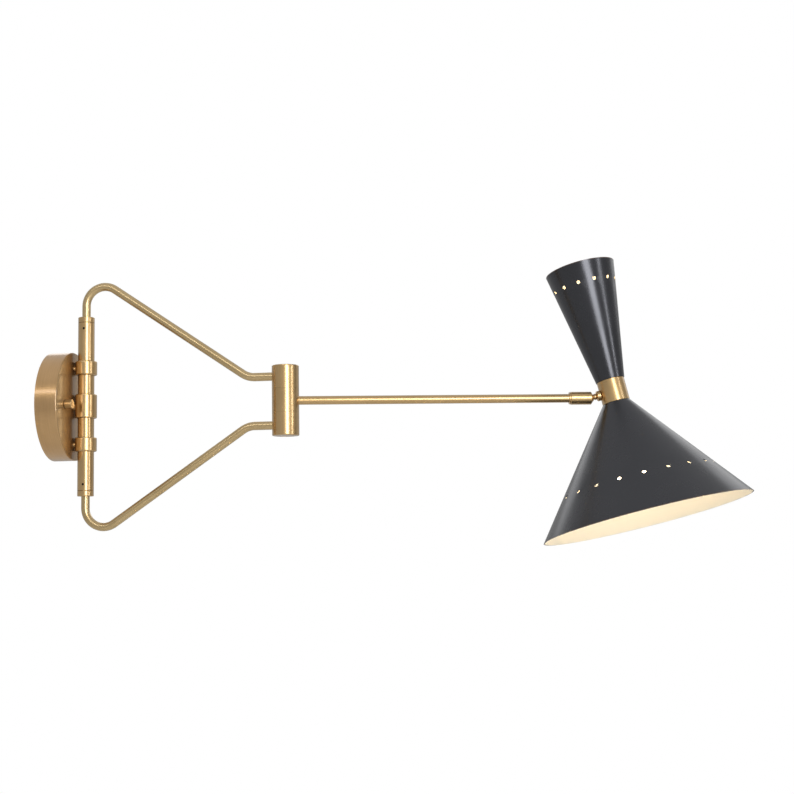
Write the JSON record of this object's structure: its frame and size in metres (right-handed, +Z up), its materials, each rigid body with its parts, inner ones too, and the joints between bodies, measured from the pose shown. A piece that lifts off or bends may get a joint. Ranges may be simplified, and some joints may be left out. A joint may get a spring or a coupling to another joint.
{
  "type": "articulating wall light",
  "caption": "Wall light with a round canopy, swinging triangular frame, folding second arm and a double cone shade on a ball joint.",
  "frame": {"origin": "centre of the canopy's back on the wall plane", "axes": "+Z up, -Y out from the wall, +X to the right as seen from the room facing the wall"},
  "size_m": [0.243, 0.7631, 0.3176],
  "materials": {
    "aged_brass": "aged brushed brass",
    "black_enamel": "satin black outside, warm white inside",
    "bulb_metal": "plain",
    "hub_metal": "machined",
    "steel": "zinc plated",
    "ground_green": "green zinc",
    "nylon": "natural nylon",
    "black_plastic": "matte",
    "orange_plastic": "matte",
    "wire_sleeve": "matte sleeve",
    "lampholder": "white ceramic look",
    "bulb_glass": "frosted"
  },
  "bodies": {
    "wall": {"wall_bracket": "steel", "ground_screw": "ground_green", "canopy": "aged_brass", "canopy_side_screws": "aged_brass", "collar_top": "aged_brass", "collar_middle": "aged_brass", "collar_bottom": "aged_brass", "hinge_bushes": "nylon", "collar_screws": "steel", "wire_nipple": "steel", "nipple_nut": "steel", "supply_leads": "black_plastic", "wire_nuts": "orange_plastic", "switch_body": "black_plastic", "switch_nut": "steel"},
    "knob": {"switch_shaft": "steel", "switch_knob": "aged_brass"},
    "frame": {"hinge_tube": "aged_brass", "tube_cap_top": "aged_brass", "tube_cap_bottom": "aged_brass", "tube_grub_screws": "steel", "upper_arm": "aged_brass", "lower_arm": "aged_brass", "arm_wire": "wire_sleeve", "knuckle_top": "aged_brass", "knuckle_bottom": "aged_brass", "knuckle_pivot": "steel", "pivot_nut": "steel", "knuckle_washers": "steel", "knuckle_caps": "aged_brass"},
    "elbow": {"knuckle_middle": "aged_brass", "extension_rod": "aged_brass", "rod_wire": "wire_sleeve", "rod_ferrule": "aged_brass", "swivel_socket": "aged_brass"},
    "seat": {"ball_seat": "nylon"},
    "stud": {"ball_stud": "aged_brass", "stud_locknut": "aged_brass", "stud_end_nut": "steel"},
    "head": {"head_collar": "aged_brass", "head_hub": "hub_metal", "head_nipple": "steel", "shade_nuts": "steel", "upper_shade": "black_enamel", "lower_shade": "black_enamel", "upper_lampholder": "lampholder", "lower_lampholder": "lampholder", "upper_bulb_cap": "bulb_metal", "lower_bulb_cap": "bulb_metal", "upper_bulb": "bulb_glass", "lower_bulb": "bulb_glass"}
  },
  "joints": [
    {"name": "frame_swing", "type": "hinge", "parent": "wall", "child": "frame", "pos_m": [0, -0.0368, 0], "axis": [0, 0, 1], "range_deg": [-90, 90]},
    {"name": "elbow_swing", "type": "hinge", "parent": "frame", "child": "elbow", "pos_m": [0, -0.2624, 0], "axis": [0, 0, 1], "range_deg": [-132, 108]},
    {"name": "head_roll", "type": "hinge", "parent": "elbow", "child": "seat", "pos_m": [0.06957, -0.58969, 0], "axis": [0.2079, -0.9781, 0], "range_deg": [-90, 90]},
    {"name": "head_tilt", "type": "hinge", "parent": "seat", "child": "stud", "pos_m": [0.06957, -0.58969, 0], "axis": [-0.9781, -0.2079, 0], "range_deg": [-42.3, 17.7]},
    {"name": "head_spin", "type": "hinge", "parent": "stud", "child": "head", "pos_m": [0.06957, -0.58969, 0], "axis": [0.2031, -0.9557, 0.213], "range_deg": [-90, 90]},
    {"name": "switch_turn", "type": "hinge", "parent": "wall", "child": "knob", "pos_m": [-0.031, -0.028, 0], "axis": [0, -1, 0], "continuous": true}
  ]
}
